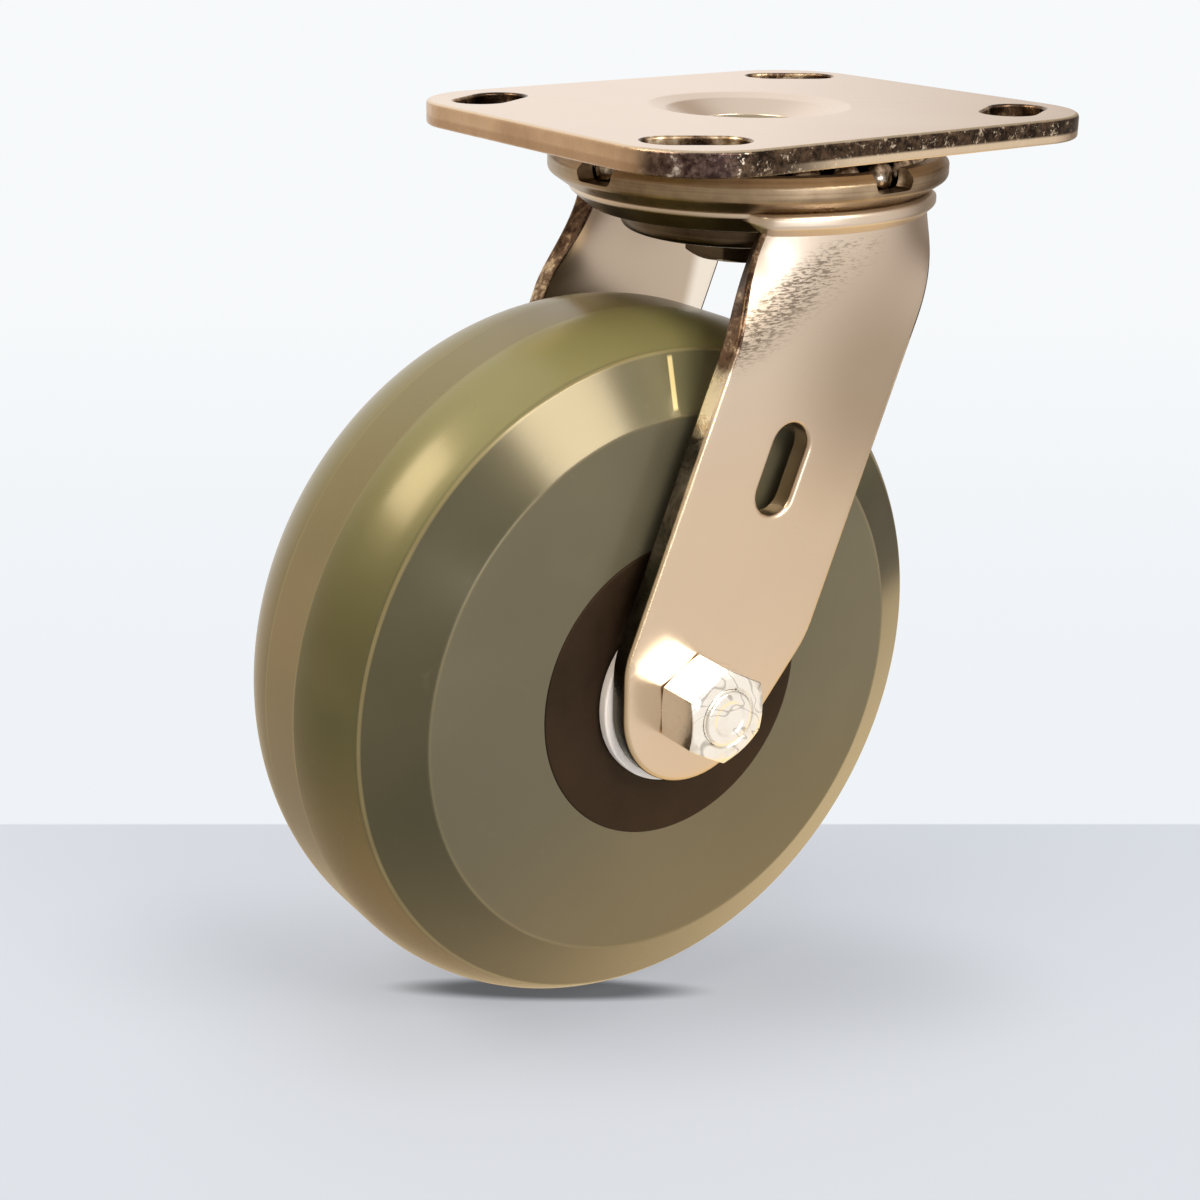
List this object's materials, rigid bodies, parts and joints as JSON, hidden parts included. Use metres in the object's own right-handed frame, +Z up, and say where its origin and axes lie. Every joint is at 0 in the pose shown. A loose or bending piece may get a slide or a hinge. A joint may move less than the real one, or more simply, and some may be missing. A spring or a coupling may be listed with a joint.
{
  "type": "swivel plate castor",
  "caption": "Swivel castor with a slotted mounting plate, double ball race, raked steel fork and solid polyurethane wheel on a roller bearing.",
  "frame": {"origin": "centre of the mounting plate's top face, on the swivel axis", "axes": "+Z up along the swivel axis, +X the way the castor travels with the wheel trailing towards -X, +Y along the axle towards the bolt's head"},
  "size_m": [0.1714, 0.1016, 0.1905],
  "materials": {
    "stainless_steel": "bright satin stainless steel with soft reflections",
    "fastener_steel": "bright machined stainless steel",
    "race_steel": "bright turned steel",
    "ball_steel": "polished hardened balls and rollers",
    "polyurethane": "glossy olive green brown polyurethane",
    "hub_brown": "dark brown moulded core",
    "washer_white": "white low-friction plastic",
    "cage_plastic": "black moulded cage"
  },
  "bodies": {
    "plate": {"top_plate": "stainless_steel", "upper_race": "race_steel", "kingpin": "fastener_steel", "lower_race": "race_steel", "kingpin_nut": "fastener_steel"},
    "upper_ball_row": {"upper_balls": "ball_steel"},
    "lower_ball_row": {"lower_balls": "ball_steel"},
    "fork": {"fork": "stainless_steel", "race_cup": "race_steel", "axle_bolt": "fastener_steel", "axle_nut": "fastener_steel", "axle_sleeve": "race_steel", "thrust_washer_near": "washer_white", "thrust_washer_far": "washer_white"},
    "wheel": {"tyre": "polyurethane", "hub_core": "hub_brown", "hub_liner": "race_steel"},
    "axle_bearing": {"roller_cage": "cage_plastic", "bearing_rollers": "ball_steel"}
  },
  "joints": [
    {"name": "swivel", "type": "hinge", "parent": "plate", "child": "fork", "pos_m": [0, 0, 0], "axis": [0, 0, 1], "continuous": true},
    {"name": "upper_ball_orbit", "type": "hinge", "parent": "plate", "child": "upper_ball_row", "pos_m": [0, 0, 0], "axis": [0, 0, 1], "continuous": true},
    {"name": "lower_ball_orbit", "type": "hinge", "parent": "plate", "child": "lower_ball_row", "pos_m": [0, 0, 0], "axis": [0, 0, 1], "continuous": true},
    {"name": "wheel_spin", "type": "hinge", "parent": "fork", "child": "wheel", "pos_m": [-0.0381, 0, -0.1143], "axis": [0, 1, 0], "continuous": true},
    {"name": "roller_orbit", "type": "hinge", "parent": "fork", "child": "axle_bearing", "pos_m": [-0.0381, 0, -0.1143], "axis": [0, 1, 0], "continuous": true}
  ],
  "couplings": [
    {"joint": "upper_ball_orbit", "follows": "swivel", "ratio": 0.5},
    {"joint": "lower_ball_orbit", "follows": "swivel", "ratio": 0.5},
    {"joint": "roller_orbit", "follows": "wheel_spin", "ratio": 0.625}
  ]
}
